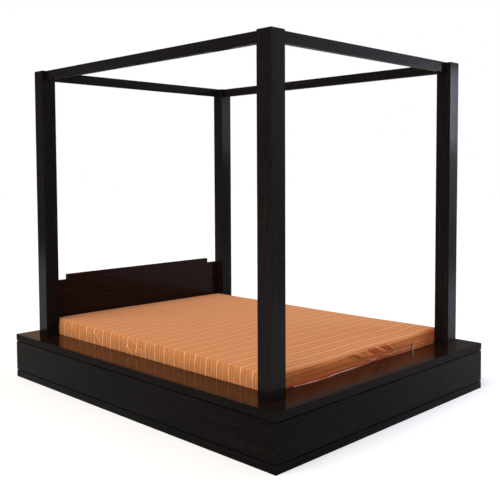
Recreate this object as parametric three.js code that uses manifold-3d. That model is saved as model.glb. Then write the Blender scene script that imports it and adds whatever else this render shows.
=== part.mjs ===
// Four poster bed: a low box plinth with a wide ledge, four square posts joined at the top by
// thin rails, a stepped headboard and a thin striped mattress lying in a shallow well.
// Millimetres, +Z up. The origin is on the floor under the middle of the bed.
// The foot end faces -Y, the headboard is at +Y, and left is -X, as seen from the foot.

import * as THREE from "three";
import { mergeVertices } from "three/addons/utils/BufferGeometryUtils.js";
import Module from "manifold-3d";

const wasm = await Module();
wasm.setup();

// Driving dimensions of the whole bed
const overall_height = 2060;
const base_width = 1930;
const base_length = 2410;
const deck_height = 290;
const post_size = 96;
const side_ledge_width = 203; // from the posts' inner faces out to the long sides
const end_ledge_width = 218; // and out to the foot and the head

// Boards of the plinth
const deck_thickness = 44;
const apron_thickness = 24;
const skirting_height = 42;
const groove_height = 6; // the two shadow lines around the plinth
const groove_depth = 6;

// Canopy rails and their tenons
const canopy_rail_height = 60;
const canopy_rail_thickness = 32;
const canopy_tenon_height = 40;
const canopy_tenon_thickness = 14;
const canopy_tenon_length = 30;

// Headboard: two boards with tongues on their ends, and a step at each end of the top
const headboard_thickness = 30;
const headboard_top = 682;
const headboard_joint = 527; // height of the line where the two boards meet
const headboard_bottom = 200;
const shoulder_drop = 36;
const shoulder_length = 112;
const tongue_thickness = 12;
const tongue_length = 12;
const tongue_margin = 10; // how far a tongue stops short of its board's free edge

// Bed frame inside the plinth
const rail_thickness = 30;
const rail_height = 156;
const rail_tenon_height = 110;
const rail_tenon_thickness = 14;
const rail_tenon_length = 30;
const head_rail_setback = 20; // the head rail stands this far in front of the posts' middle
const ledger_width = 28;
const ledger_height = 30;
const bearer_width = 30;
const bearer_height = 46;
const beam_width = 45;
const beam_height = 100;
const leg_size = 45;
const leg_count = 2;
const leg_spacing = 1000;
const slat_count = 12;
const slat_width = 80;
const slat_thickness = 18;
const slat_margin = 12; // from the posts' inner faces to the first and last slat

// Bed bolts, one at each corner
const bolt_diameter = 10;
const bolt_head_flats = 17;
const bolt_head_height = 7;
const bolt_bite = 60; // how far the bolt reaches into the side rail
const counterbore_diameter = 26;
const counterbore_depth = 12;

// Mattress
const mattress_thickness = 146;
const mattress_side_gap = 3;
const mattress_corner_radius = 26;
const mattress_top_radius = 14;
const mattress_bottom_radius = 14;
const mattress_crown = 5;
const mattress_draw_in = 3; // how far the sides, but for the foot, pull in between the corners
const foot_droop = 12; // how far the top sinks towards its foot edge
const foot_droop_reach = 700;

// Zip of the mattress cover, closed, with its slider at its right end
const zip_length = 1040;
const zip_height = 33; // of its middle line above the ledge
const zip_tape_height = 14;
const zip_tape_thickness = 1.5;
const slider_length = 13;
const slider_height = 10;
const slider_thickness = 4;
const slider_end_margin = 8.5;
const lug_thickness = 1.6;
const lug_radius = 2.2;
const pin_radius = 0.9;
const pin_standoff = 2.4; // from the slider's face to the pin's axis
const tab_knuckle_radius = 2.1;
const tab_neck_width = 5;
const tab_width = 9;
const tab_length = 30;
const tab_thickness = 1.3;

// Clearances and easing
const joint_gap = 0.3; // the hairline left at every joint and resting face
const running_gap = 0.3; // between the zip tab's knuckle and its pin
const soft_gap = 0.3;
const post_ease = 2; // flat on every arris of a post
const rail_ease = 1.5;
const board_ease = 1;
const cut_overrun = 2; // how far a cutter sticks out of what it cuts

// Counts of facets and stations
const round_sides = 24;
const hex_sides = 6;
const corner_steps = 5;
const side_steps = 9;
const edge_steps = 2;

// Places worked out from the sizes above
const half_width = base_width / 2;
const half_length = base_length / 2;
const post_in_x = half_width - side_ledge_width;
const post_in_y = half_length - end_ledge_width;
const post_mid_x = post_in_x + post_size / 2;
const post_mid_y = post_in_y + post_size / 2;
const post_out_y = post_in_y + post_size;
const deck_under = deck_height - deck_thickness;
const slat_top = deck_under;
const slat_under = slat_top - slat_thickness;
const rail_bottom = slat_top - rail_height;
const headboard_back = post_out_y;
const headboard_front = headboard_back - headboard_thickness;
const rail_in_x = post_mid_x - rail_thickness / 2;
const head_rail_y = post_mid_y - head_rail_setback;
const foot_rail_y = -post_mid_y;

// Finishes
const finish = (color, roughness, metalness = 0) => () =>
  new THREE.MeshStandardMaterial({ color, roughness, metalness });
const espresso = finish(0x24130f, 0.22);
const softwood = finish(0xb98f5c, 0.65);
const steel = finish(0x9c9fa3, 0.35, 1);
const ticking = finish(0xd08a5c, 0.9);
const zip_cloth = finish(0xc98a66, 0.9);
const zip_metal = finish(0xc9c9c6, 0.3, 1);

// Solids: geometry to manifold and back
function toSolid(geometry) {
  const bare = geometry.clone();
  bare.deleteAttribute("normal");
  bare.deleteAttribute("uv");
  const merged = mergeVertices(bare);
  return new wasm.Manifold(
    new wasm.Mesh({
      numProp: 3,
      vertProperties: new Float32Array(merged.attributes.position.array),
      triVerts: new Uint32Array(merged.index.array),
    }),
  );
}

function toGeometry(solid) {
  const mesh = solid.getMesh();
  const geometry = new THREE.BufferGeometry();
  geometry.setAttribute("position", new THREE.BufferAttribute(mesh.vertProperties, 3));
  geometry.setIndex(new THREE.BufferAttribute(mesh.triVerts, 1));
  const flat = geometry.toNonIndexed();
  flat.computeVertexNormals();
  return flat;
}

function cut(geometry, cutters) {
  const tools = cutters.map(toSolid);
  return toGeometry(tools.reduce((rest, tool) => rest.subtract(tool), toSolid(geometry)));
}

function join(geometries) {
  return toGeometry(geometries.map(toSolid).reduce((all, next) => all.add(next)));
}

// A plain block between two corners
function block(low, high) {
  const size = high.map((value, i) => value - low[i]);
  const middle = high.map((value, i) => (value + low[i]) / 2);
  return new THREE.BoxGeometry(...size).translate(...middle);
}

// Turns a shape drawn in XY and extruded along +Z so that it runs along another axis
const AXIS_FRAMES = {
  x: [new THREE.Vector3(0, 1, 0), new THREE.Vector3(0, 0, 1), new THREE.Vector3(1, 0, 0)],
  y: [new THREE.Vector3(0, 0, 1), new THREE.Vector3(1, 0, 0), new THREE.Vector3(0, 1, 0)],
  z: [new THREE.Vector3(1, 0, 0), new THREE.Vector3(0, 1, 0), new THREE.Vector3(0, 0, 1)],
};

function alongAxis(geometry, axis) {
  return geometry.applyMatrix4(new THREE.Matrix4().makeBasis(...AXIS_FRAMES[axis]));
}

// A planed board between two corners, running along one axis, with every arris eased
function board(low, high, axis, ease) {
  const order = { x: [1, 2, 0], y: [2, 0, 1], z: [0, 1, 2] }[axis];
  const [wide, deep, long] = order.map((i) => high[i] - low[i]);
  const x = wide / 2 - ease;
  const y = deep / 2 - ease;
  const outline = new THREE.Shape([
    new THREE.Vector2(-x, -y),
    new THREE.Vector2(x, -y),
    new THREE.Vector2(x, y),
    new THREE.Vector2(-x, y),
  ]);
  const geometry = new THREE.ExtrudeGeometry(outline, {
    depth: long - 2 * ease,
    bevelEnabled: true,
    bevelThickness: ease,
    bevelSize: ease,
    bevelSegments: 1,
  });
  geometry.translate(0, 0, ease - long / 2);
  return alongAxis(geometry, axis).translate(...high.map((value, i) => (value + low[i]) / 2));
}

// A round bar between two points of one axis
function rod(radius, start, length, axis, sides = round_sides) {
  const bar = new THREE.CylinderGeometry(radius, radius, length, sides);
  bar.rotateX(Math.PI / 2);
  const middle = start.slice();
  middle["xyz".indexOf(axis)] += length / 2;
  return alongAxis(bar, axis).translate(...middle);
}

// An outline given as corner points, raised between two heights
function slab(points, bottom, top) {
  const outline = new THREE.Shape(points.map(([x, y]) => new THREE.Vector2(x, y)));
  const geometry = new THREE.ExtrudeGeometry(outline, { depth: top - bottom, bevelEnabled: false });
  return geometry.translate(0, 0, bottom);
}

const bed = new THREE.Group();

// Adds one named piece to a group, its place held by the mesh and its shape around it
function piece(group, name, geometry, material) {
  geometry.computeBoundingBox();
  const middle = geometry.boundingBox.getCenter(new THREE.Vector3());
  geometry.translate(-middle.x, -middle.y, -middle.z);
  const mesh = new THREE.Mesh(geometry, material());
  mesh.name = name;
  mesh.position.copy(middle);
  group.add(mesh);
  return mesh;
}

const SIDES = [
  ["left", -1],
  ["right", 1],
];
const ENDS = [
  ["foot", -1],
  ["head", 1],
];

// A rail between two posts, with a tenon on each end
function tenonedRail(axis, across, low_z, high_z, half_span, thickness, tenon, ease) {
  const bar = (half, wide, bottom, top, eased) => {
    const low = axis === "x" ? [-half, across - wide / 2, bottom] : [across - wide / 2, -half, bottom];
    const high = axis === "x" ? [half, across + wide / 2, top] : [across + wide / 2, half, top];
    return eased ? board(low, high, axis, ease) : block(low, high);
  };
  const middle_z = (low_z + high_z) / 2;
  const body = bar(half_span - joint_gap, thickness, low_z, high_z, true);
  const core = bar(
    half_span + tenon.length - joint_gap,
    tenon.thickness,
    middle_z - tenon.height / 2,
    middle_z + tenon.height / 2,
    false,
  );
  return join([body, core]);
}

// The pocket in a post for such a tenon, reaching in from the post's inner face
function mortise(axis, side, across, middle_z, face, tenon) {
  const near = side * (face - cut_overrun);
  const far = side * (face + tenon.length);
  const wide = tenon.thickness / 2 + joint_gap;
  const tall = tenon.height / 2 + joint_gap;
  const [start, end] = [Math.min(near, far), Math.max(near, far)];
  return axis === "x"
    ? block([start, across - wide, middle_z - tall], [end, across + wide, middle_z + tall])
    : block([across - wide, start, middle_z - tall], [across + wide, end, middle_z + tall]);
}

const canopy_tenon = {
  length: canopy_tenon_length,
  height: canopy_tenon_height,
  thickness: canopy_tenon_thickness,
};
const rail_tenon = {
  length: rail_tenon_length,
  height: rail_tenon_height,
  thickness: rail_tenon_thickness,
};
const canopy_low = overall_height - canopy_rail_height;
const canopy_mid = overall_height - canopy_rail_height / 2;
const rail_top = deck_under - joint_gap;
const bolt_z = (rail_bottom + deck_under) / 2;
const foot_rail_mid = (rail_bottom + rail_top) / 2;
const head_rail_mid = (rail_bottom + slat_top) / 2;

// Four posts, floor to canopy. Each has pockets for the canopy rails and the cross rail, a bolt
// hole for the side rail, and at the head a groove for the headboard's tongues.
const posts = new THREE.Group();
bed.add(posts);
for (const [end, along] of ENDS) {
  for (const [side, across] of SIDES) {
    const mid = [across * post_mid_x, along * post_mid_y];
    const cutters = [
      mortise("x", across, mid[1], canopy_mid, post_in_x, canopy_tenon),
      mortise("y", along, mid[0], canopy_mid, post_in_y, canopy_tenon),
      mortise(
        "x",
        across,
        along < 0 ? foot_rail_y : head_rail_y,
        along < 0 ? foot_rail_mid : head_rail_mid,
        post_in_x,
        rail_tenon,
      ),
    ];
    const through = post_size + 2 * cut_overrun;
    const hole_start = Math.min(along * (post_in_y - cut_overrun), along * (post_out_y + cut_overrun));
    cutters.push(rod(bolt_diameter / 2 + joint_gap, [mid[0], hole_start, bolt_z], through, "y"));
    const bore_face = along * (post_out_y + cut_overrun);
    const bore_floor = along * (post_out_y - counterbore_depth);
    cutters.push(
      rod(
        counterbore_diameter / 2,
        [mid[0], Math.min(bore_face, bore_floor), bolt_z],
        Math.abs(bore_face - bore_floor),
        "y",
      ),
    );
    if (along > 0) {
      const groove_mid = headboard_back - headboard_thickness / 2;
      const half = tongue_thickness / 2 + joint_gap;
      const near = across * (post_in_x - cut_overrun);
      const far = across * (post_in_x + tongue_length);
      cutters.push(
        block(
          [Math.min(near, far), groove_mid - half, headboard_bottom + tongue_margin - joint_gap],
          [
            Math.max(near, far),
            groove_mid + half,
            headboard_top - shoulder_drop - tongue_margin + joint_gap,
          ],
        ),
      );
    }
    const blank = board(
      [mid[0] - post_size / 2, mid[1] - post_size / 2, 0],
      [mid[0] + post_size / 2, mid[1] + post_size / 2, overall_height],
      "z",
      post_ease,
    );
    piece(posts, `post_${end}_${side}`, cut(blank, cutters), espresso);
  }
}

// Four canopy rails, flush with the tops of the posts and centred on them
const canopy = new THREE.Group();
bed.add(canopy);
for (const [end, along] of ENDS) {
  const rail = tenonedRail(
    "x",
    along * post_mid_y,
    canopy_low,
    overall_height,
    post_in_x,
    canopy_rail_thickness,
    canopy_tenon,
    rail_ease,
  );
  piece(canopy, `canopy_rail_${end}`, rail, espresso);
}
for (const [side, across] of SIDES) {
  const rail = tenonedRail(
    "y",
    across * post_mid_x,
    canopy_low,
    overall_height,
    post_in_y,
    canopy_rail_thickness,
    canopy_tenon,
    rail_ease,
  );
  piece(canopy, `canopy_rail_${side}`, rail, espresso);
}

// Headboard: an upper board with a step at each end, over a lower board that runs down behind
// the mattress. Both have a tongue on each end, in the posts' grooves.
const headboard = new THREE.Group();
bed.add(headboard);
const board_end = post_in_x - joint_gap;
const tongue_end = post_in_x + tongue_length - joint_gap;
const tongue_mid = headboard_back - headboard_thickness / 2;
function tongue(bottom, top) {
  return block(
    [-tongue_end, tongue_mid - tongue_thickness / 2, bottom],
    [tongue_end, tongue_mid + tongue_thickness / 2, top],
  );
}
const shoulder_z = headboard_top - shoulder_drop;
const step_x = post_in_x - shoulder_length;
const upper_outline = [
  [-board_end, headboard_joint],
  [board_end, headboard_joint],
  [board_end, shoulder_z],
  [step_x, shoulder_z],
  [step_x, headboard_top],
  [-step_x, headboard_top],
  [-step_x, shoulder_z],
  [-board_end, shoulder_z],
];
const upper_shape = new THREE.Shape(upper_outline.map(([x, z]) => new THREE.Vector2(x, z)));
const upper_board = new THREE.ExtrudeGeometry(upper_shape, {
  depth: headboard_thickness,
  bevelEnabled: false,
});
upper_board.rotateX(Math.PI / 2).translate(0, headboard_back, 0);
piece(
  headboard,
  "headboard_upper",
  join([upper_board, tongue(headboard_joint, shoulder_z - tongue_margin)]),
  espresso,
);
const lower_board = block(
  [-board_end, headboard_front, headboard_bottom],
  [board_end, headboard_back, headboard_joint - joint_gap],
);
piece(
  headboard,
  "headboard_lower",
  join([lower_board, tongue(headboard_bottom + tongue_margin, headboard_joint - joint_gap)]),
  espresso,
);

// Ledge boards. The end ones run the full width and are notched around the posts, and at the
// head around the headboard and mattress too. The side ones butt against them in line with the
// posts' inner faces.
const deck = new THREE.Group();
bed.add(deck);
const notch_in = post_in_x - joint_gap;
const notch_out = post_in_x + post_size + joint_gap;
const notch_deep = post_out_y + joint_gap;
const foot_notch = (across) => [
  [across * notch_out, -post_in_y],
  [across * notch_out, -notch_deep],
  [across * notch_in, -notch_deep],
  [across * notch_in, -post_in_y],
];
const foot_outline = [
  [-half_width, -half_length],
  [half_width, -half_length],
  [half_width, -post_in_y],
  ...foot_notch(1),
  ...foot_notch(-1).reverse(),
  [-half_width, -post_in_y],
];
piece(deck, "deck_foot", slab(foot_outline, deck_under, deck_height), espresso);
const head_outline = [
  [half_width, half_length],
  [-half_width, half_length],
  [-half_width, post_in_y],
  [-notch_out, post_in_y],
  [-notch_out, notch_deep],
  [notch_out, notch_deep],
  [notch_out, post_in_y],
  [half_width, post_in_y],
];
piece(deck, "deck_head", slab(head_outline, deck_under, deck_height), espresso);
for (const [side, across] of SIDES) {
  const edges = [across * post_in_x, across * half_width].sort((a, b) => a - b);
  const ledge = board(
    [edges[0], -post_in_y + joint_gap, deck_under],
    [edges[1], post_in_y - joint_gap, deck_height],
    "y",
    board_ease,
  );
  piece(deck, `deck_${side}`, ledge, espresso);
}

// A plinth board along local X, its outer face at local -Y. Each end is square or mitred back
// by its own thickness.
function plinthBoard(profile, start, end, mitre_start, mitre_end) {
  const outline = new THREE.Shape(profile.map(([inward, z]) => new THREE.Vector2(inward, z)));
  const geometry = new THREE.ExtrudeGeometry(outline, { depth: end - start, bevelEnabled: false });
  const place = geometry.attributes.position;
  const trim = joint_gap * Math.SQRT1_2;
  for (let i = 0; i < place.count; i += 1) {
    const inward = place.getX(i);
    const at_start = place.getZ(i) < (end - start) / 2;
    if (at_start && mitre_start) {
      place.setZ(i, inward + trim);
    } else if (!at_start && mitre_end) {
      place.setZ(i, end - start - inward - trim);
    }
  }
  geometry.computeVertexNormals();
  return alongAxis(geometry.translate(0, 0, start), "x");
}

const apron_bottom = skirting_height + joint_gap;
const apron_top = deck_under - joint_gap;
const apron_profile = [
  [groove_depth, apron_bottom],
  [apron_thickness, apron_bottom],
  [apron_thickness, apron_top],
  [groove_depth, apron_top],
  [groove_depth, deck_under - groove_height],
  [0, deck_under - groove_height],
  [0, skirting_height + groove_height],
  [groove_depth, skirting_height + groove_height],
];
const skirting_profile = [
  [0, 0],
  [apron_thickness, 0],
  [apron_thickness, skirting_height],
  [0, skirting_height],
];

// The plinth: on each side one board between the ends' short returns, all in line with the
// joints of the ledge above. A group per side is turned to face outwards.
const plinth = new THREE.Group();
bed.add(plinth);
const QUARTERS = [
  ["foot", 0],
  ["right", 1],
  ["head", 2],
  ["left", 3],
];
for (const [kind, profile] of [
  ["apron", apron_profile],
  ["skirting", skirting_profile],
]) {
  for (const [name, quarter] of QUARTERS) {
    const face = new THREE.Group();
    face.rotation.z = (quarter * Math.PI) / 2;
    plinth.add(face);
    const is_end = quarter % 2 === 0;
    const out = is_end ? half_length : half_width;
    const add = (label, start, end, mitre_start, mitre_end) => {
      const shape = plinthBoard(profile, start, end, mitre_start, mitre_end);
      piece(face, label, shape.translate(0, -out, 0), espresso);
    };
    if (is_end) {
      add(`${kind}_${name}`, -half_width, half_width, true, true);
    } else {
      const seam = post_in_y - joint_gap;
      const [first, last] = quarter === 1 ? ["foot", "head"] : ["head", "foot"];
      add(`${kind}_return_${first}_${name}`, -half_length, -post_in_y, true, false);
      add(`${kind}_${name}`, -seam, seam, false, false);
      add(`${kind}_return_${last}_${name}`, post_in_y, half_length, false, true);
    }
  }
}

// Bed frame: side rails bolted between the posts, cross rails tenoned between them, ledgers,
// a centre beam on legs, and a bearer that carries the head ledge behind the headboard.
const frame = new THREE.Group();
bed.add(frame);
for (const [side, across] of SIDES) {
  const mid_x = across * post_mid_x;
  const blank = board(
    [mid_x - rail_thickness / 2, -post_in_y + joint_gap, rail_bottom],
    [mid_x + rail_thickness / 2, post_in_y - joint_gap, rail_top],
    "y",
    board_ease,
  );
  const hole_length = bolt_bite + joint_gap + cut_overrun;
  const holes = ENDS.map(([, along]) => {
    const inner = along * (post_in_y - bolt_bite - joint_gap);
    const outer = along * (post_in_y + cut_overrun);
    const start = [mid_x, Math.min(inner, outer), bolt_z];
    return rod(bolt_diameter / 2 + joint_gap, start, hole_length, "y");
  });
  piece(frame, `side_rail_${side}`, cut(blank, holes), softwood);

  const ledger_out = across * (rail_in_x - joint_gap);
  const ledger_in = across * (rail_in_x - ledger_width);
  const ledger = board(
    [Math.min(ledger_out, ledger_in), slat_margin - post_in_y, slat_under - joint_gap - ledger_height],
    [Math.max(ledger_out, ledger_in), post_in_y - slat_margin, slat_under - joint_gap],
    "y",
    board_ease,
  );
  piece(frame, `slat_ledger_${side}`, ledger, softwood);
}
const cross_rail = (y, top) =>
  tenonedRail("x", y, rail_bottom, top, post_in_x, rail_thickness, rail_tenon, board_ease);
piece(frame, "cross_rail_foot", cross_rail(foot_rail_y, rail_top), softwood);
piece(frame, "cross_rail_head", cross_rail(head_rail_y, slat_top), softwood);
const bearer_near = headboard_back + joint_gap;
piece(
  frame,
  "deck_bearer_head",
  board(
    [-post_in_x - post_size, bearer_near, deck_under - joint_gap - bearer_height],
    [post_in_x + post_size, bearer_near + bearer_width, deck_under - joint_gap],
    "x",
    board_ease,
  ),
  softwood,
);
const beam_top = slat_under - joint_gap;
const beam_under = beam_top - beam_height;
piece(
  frame,
  "centre_beam",
  board(
    [-beam_width / 2, foot_rail_y + rail_thickness / 2 + joint_gap, beam_under],
    [beam_width / 2, head_rail_y - rail_thickness / 2 - joint_gap, beam_top],
    "y",
    board_ease,
  ),
  softwood,
);
for (let i = 0; i < leg_count; i += 1) {
  const y = (i - (leg_count - 1) / 2) * leg_spacing;
  const leg = board(
    [-leg_size / 2, y - leg_size / 2, 0],
    [leg_size / 2, y + leg_size / 2, beam_under - joint_gap],
    "z",
    board_ease,
  );
  piece(frame, `centre_leg_${i + 1}`, leg, softwood);
}

// Slats across the ledgers and the centre beam, with even gaps
const slats = new THREE.Group();
bed.add(slats);
const slat_end = rail_in_x - 2 * joint_gap;
const first_slat = -post_in_y + slat_margin + slat_width / 2;
const slat_pitch = (-2 * first_slat) / (slat_count - 1);
for (let i = 0; i < slat_count; i += 1) {
  const y = first_slat + i * slat_pitch;
  const slat = board(
    [-slat_end, y - slat_width / 2, slat_under],
    [slat_end, y + slat_width / 2, slat_top],
    "x",
    board_ease,
  );
  piece(slats, `slat_${String(i + 1).padStart(2, "0")}`, slat, softwood);
}

// Bed bolts: a hexagon head in the post's counterbore and a shank into the side rail
const bolts = new THREE.Group();
bed.add(bolts);
for (const [end, along] of ENDS) {
  for (const [side, across] of SIDES) {
    const x = across * post_mid_x;
    const seat = along * (post_out_y - counterbore_depth + joint_gap);
    const tip = along * (post_in_y - bolt_bite);
    const top = seat + along * bolt_head_height;
    const head_radius = bolt_head_flats / 2 / Math.cos(Math.PI / hex_sides);
    const head = rod(head_radius, [x, Math.min(seat, top), bolt_z], bolt_head_height, "y", hex_sides);
    const inside = seat + (along * bolt_head_height) / 2;
    const shank_start = [x, Math.min(inside, tip), bolt_z];
    const shank = rod(bolt_diameter / 2, shank_start, Math.abs(inside - tip), "y");
    piece(bolts, `bed_bolt_${end}_${side}`, join([head, shank]), steel);
  }
}

// The mattress: its plan is a rectangle with round corners. All its sides but the foot one pull
// in a little between them. Rings of that plan climb from the bottom, round the edges and close
// over a crowned top, which sinks towards the foot.
const bedding = new THREE.Group();
bed.add(bedding);
const mattress_half_x = post_in_x - mattress_side_gap;
const mattress_head = headboard_front - mattress_side_gap;
const mattress_foot = -post_in_y + mattress_side_gap;
const mattress_half_y = (mattress_head - mattress_foot) / 2;
const mattress_mid_y = (mattress_head + mattress_foot) / 2;
const mattress_bottom = slat_top + soft_gap;

// The stations along one straight side, as shares of it from -1 to 1
const side_shares = Array.from({ length: side_steps }, (_, i) => (2 * (i + 1)) / (side_steps + 1) - 1);

// The plan's outline drawn in by an inset, as points from the mattress's middle
function planPoints(inset) {
  const points = [];
  const radius = mattress_corner_radius * (1 - inset / mattress_half_x);
  const corner_x = mattress_half_x - inset - radius;
  const corner_y = mattress_half_y - inset - radius;
  const turn = (x, y, quarter) => {
    const [cos, sin] = [Math.cos((quarter * Math.PI) / 2), Math.sin((quarter * Math.PI) / 2)];
    return [x * cos - y * sin, x * sin + y * cos];
  };
  for (let quarter = 0; quarter < 4; quarter += 1) {
    const is_end = quarter % 2 === 0;
    const half = is_end ? corner_x : corner_y;
    const out = is_end ? corner_y + radius : corner_x + radius;
    const draw_in = quarter === 0 ? 0 : mattress_draw_in;
    for (const share of side_shares) {
      points.push(turn(half * share, draw_in * (1 - share * share) - out, quarter));
    }
    for (let i = 0; i <= corner_steps; i += 1) {
      const angle = ((i / corner_steps) * Math.PI) / 2;
      const [x, y] = [half + radius * Math.sin(angle), radius * (1 - Math.cos(angle)) - out];
      points.push(turn(x, y, quarter));
    }
  }
  return points;
}

// How high the top lies above the rim, and how much of the height is left towards the foot
function topRise(x, y) {
  return mattress_crown * (1 - (x / mattress_half_x) ** 2) * (1 - (y / mattress_half_y) ** 2);
}

function heightShare(y) {
  const from_foot = y + mattress_half_y;
  const sink = foot_droop * (1 - THREE.MathUtils.smoothstep(from_foot, 0, foot_droop_reach));
  return 1 - sink / mattress_thickness;
}

// The rings as [inset, height above the bottom]
function mattressRings() {
  const arc = Array.from({ length: edge_steps + 1 }, (_, i) => ((i / edge_steps) * Math.PI) / 2);
  const bottom_edge = arc.map((angle) => [
    mattress_bottom_radius * (1 - Math.sin(angle)),
    mattress_bottom_radius * (1 - Math.cos(angle)),
  ]);
  const top_edge = arc.map((angle) => [
    mattress_top_radius * (1 - Math.cos(angle)),
    mattress_thickness - mattress_top_radius * (1 - Math.sin(angle)),
  ]);
  return [...bottom_edge, [0, mattress_thickness / 2], ...top_edge];
}

const top_inset_shares = [0.15, 0.4, 0.7];

function mattressGeometry() {
  const lift = (x, y, height) => [x, y, mattress_bottom + height * heightShare(y)];
  const rings = mattressRings().map(([inset, height]) =>
    planPoints(inset).map(([x, y]) => lift(x, y, height)),
  );
  const edge = planPoints(mattress_top_radius);
  for (const share of top_inset_shares) {
    rings.push(
      edge.map(([x, y]) => {
        const [in_x, in_y] = [x * (1 - share), y * (1 - share)];
        return lift(in_x, in_y, mattress_thickness + topRise(in_x, in_y));
      }),
    );
  }
  const positions = rings.flat().flatMap(([x, y, z]) => [x, y + mattress_mid_y, z]);
  const index = [];
  const count = rings[0].length;
  for (let r = 0; r < rings.length - 1; r += 1) {
    for (let i = 0; i < count; i += 1) {
      const j = (i + 1) % count;
      const [a, b, c, d] = [r * count + i, r * count + j, (r + 1) * count + j, (r + 1) * count + i];
      index.push(a, b, c, a, c, d);
    }
  }
  const bottom_middle = rings.length * count;
  const top_middle = bottom_middle + 1;
  positions.push(0, mattress_mid_y, mattress_bottom);
  positions.push(0, mattress_mid_y, mattress_bottom + mattress_thickness + topRise(0, 0));
  const last = (rings.length - 1) * count;
  for (let i = 0; i < count; i += 1) {
    const j = (i + 1) % count;
    index.push(bottom_middle, j, i, top_middle, last + i, last + j);
  }
  const geometry = new THREE.BufferGeometry();
  geometry.setAttribute("position", new THREE.Float32BufferAttribute(positions, 3));
  geometry.setIndex(index);
  geometry.computeVertexNormals();
  return geometry;
}
piece(bedding, "mattress", mattressGeometry(), ticking);

// The zip along the foot side: a straight level tape close to the cover. The slider rides on it
// near its right end. Two lugs on its face carry a pin, on which the pull tab hangs and swings.
const zip_z = deck_height + zip_height;
const tape_back = mattress_foot - soft_gap;
const tape_face = tape_back - zip_tape_thickness;
const tape = block(
  [-zip_length / 2, tape_face, zip_z - zip_tape_height / 2],
  [zip_length / 2, tape_back, zip_z + zip_tape_height / 2],
);
piece(bedding, "zip_tape", tape, zip_cloth);

const slider_x = zip_length / 2 - slider_end_margin - slider_length / 2;
const slider_back = tape_face - joint_gap;
const slider_face = slider_back - slider_thickness;
const pin_y = slider_face - pin_standoff;
const lug_inner = tab_neck_width / 2 + running_gap;
const slider_body = slab(
  [
    [slider_x - slider_length / 2, slider_back],
    [slider_x - slider_length / 2, slider_back - slider_thickness / 2],
    [slider_x - slider_length / 4, slider_face],
    [slider_x + slider_length / 4, slider_face],
    [slider_x + slider_length / 2, slider_back - slider_thickness / 2],
    [slider_x + slider_length / 2, slider_back],
  ].reverse(),
  zip_z - slider_height / 2,
  zip_z + slider_height / 2,
);
const lugs = SIDES.flatMap(([, across]) => {
  const inner = slider_x + across * lug_inner;
  const outer = slider_x + across * (lug_inner + lug_thickness);
  const start = Math.min(inner, outer);
  return [
    rod(lug_radius, [start, pin_y, zip_z], lug_thickness, "x"),
    block(
      [start, pin_y, zip_z - lug_radius],
      [start + lug_thickness, slider_back - slider_thickness / 4, zip_z + lug_radius],
    ),
  ];
});
const pin_reach = lug_inner + lug_thickness / 2;
const pin = rod(pin_radius, [slider_x - pin_reach, pin_y, zip_z], 2 * pin_reach, "x");
piece(bedding, "zip_slider", join([slider_body, ...lugs, pin]), zip_metal);

const knuckle = rod(
  tab_knuckle_radius,
  [slider_x - tab_neck_width / 2, pin_y, zip_z],
  tab_neck_width,
  "x",
);
const tab_shape = new THREE.Shape(
  [
    [-tab_neck_width / 2, 0],
    [-tab_neck_width / 2, -tab_length / 4],
    [-tab_width / 2, -tab_length / 2],
    [-tab_width / 2, tab_width / 4 - tab_length],
    [-tab_width / 4, -tab_length],
    [tab_width / 4, -tab_length],
    [tab_width / 2, tab_width / 4 - tab_length],
    [tab_width / 2, -tab_length / 2],
    [tab_neck_width / 2, -tab_length / 4],
    [tab_neck_width / 2, 0],
  ].map(([x, z]) => new THREE.Vector2(x, z)),
);
const tab_plate = new THREE.ExtrudeGeometry(tab_shape, { depth: tab_thickness, bevelEnabled: false });
tab_plate.rotateX(Math.PI / 2).translate(slider_x, pin_y + tab_thickness / 2, zip_z);
const pin_hole = rod(
  pin_radius + running_gap,
  [slider_x - tab_neck_width / 2 - cut_overrun, pin_y, zip_z],
  tab_neck_width + 2 * cut_overrun,
  "x",
);
piece(bedding, "zip_tab", cut(join([knuckle, tab_plate]), [pin_hole]), zip_metal);

export default bed;
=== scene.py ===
# %% [markdown]
# # A four poster bed in dark lacquered wood
# A low box plinth with a wide ledge carries four square posts, thin canopy rails, a stepped
# headboard and one thin striped mattress. All the joinery comes from the CAD model as a fixed
# frame. Here it gets its light and its finishes, and the mattress becomes real cloth.
# All is in metres, the floor is z = 0 and the foot of the bed faces -Y.

# %% Load the frame
import math

import bpy
from mathutils import Matrix, Vector, noise


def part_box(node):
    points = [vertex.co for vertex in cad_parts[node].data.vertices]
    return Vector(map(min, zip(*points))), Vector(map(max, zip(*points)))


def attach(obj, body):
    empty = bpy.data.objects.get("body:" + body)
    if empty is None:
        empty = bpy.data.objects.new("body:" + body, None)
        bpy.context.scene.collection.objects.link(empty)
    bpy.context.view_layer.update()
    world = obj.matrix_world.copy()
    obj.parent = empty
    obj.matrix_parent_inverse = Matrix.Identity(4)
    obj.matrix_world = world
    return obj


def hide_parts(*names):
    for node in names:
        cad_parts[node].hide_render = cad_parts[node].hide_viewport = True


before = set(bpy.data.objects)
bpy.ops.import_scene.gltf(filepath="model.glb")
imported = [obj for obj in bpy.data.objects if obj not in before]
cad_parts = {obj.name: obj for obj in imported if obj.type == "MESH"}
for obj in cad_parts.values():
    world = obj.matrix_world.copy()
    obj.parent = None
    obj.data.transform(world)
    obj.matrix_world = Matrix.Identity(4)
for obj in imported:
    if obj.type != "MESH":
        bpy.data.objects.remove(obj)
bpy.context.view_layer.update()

print("CAD nodes", len(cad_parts))

# %% [markdown]
# ## The camera
# The photograph looks at the foot end's left corner from chest height. Its uprights run nearly
# parallel, so the camera stands nearly level, and a small vertical shift moves the bed up the
# frame, as a view camera would. Place, turn and lens were solved from edges whose places on the
# bed are known.

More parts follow.
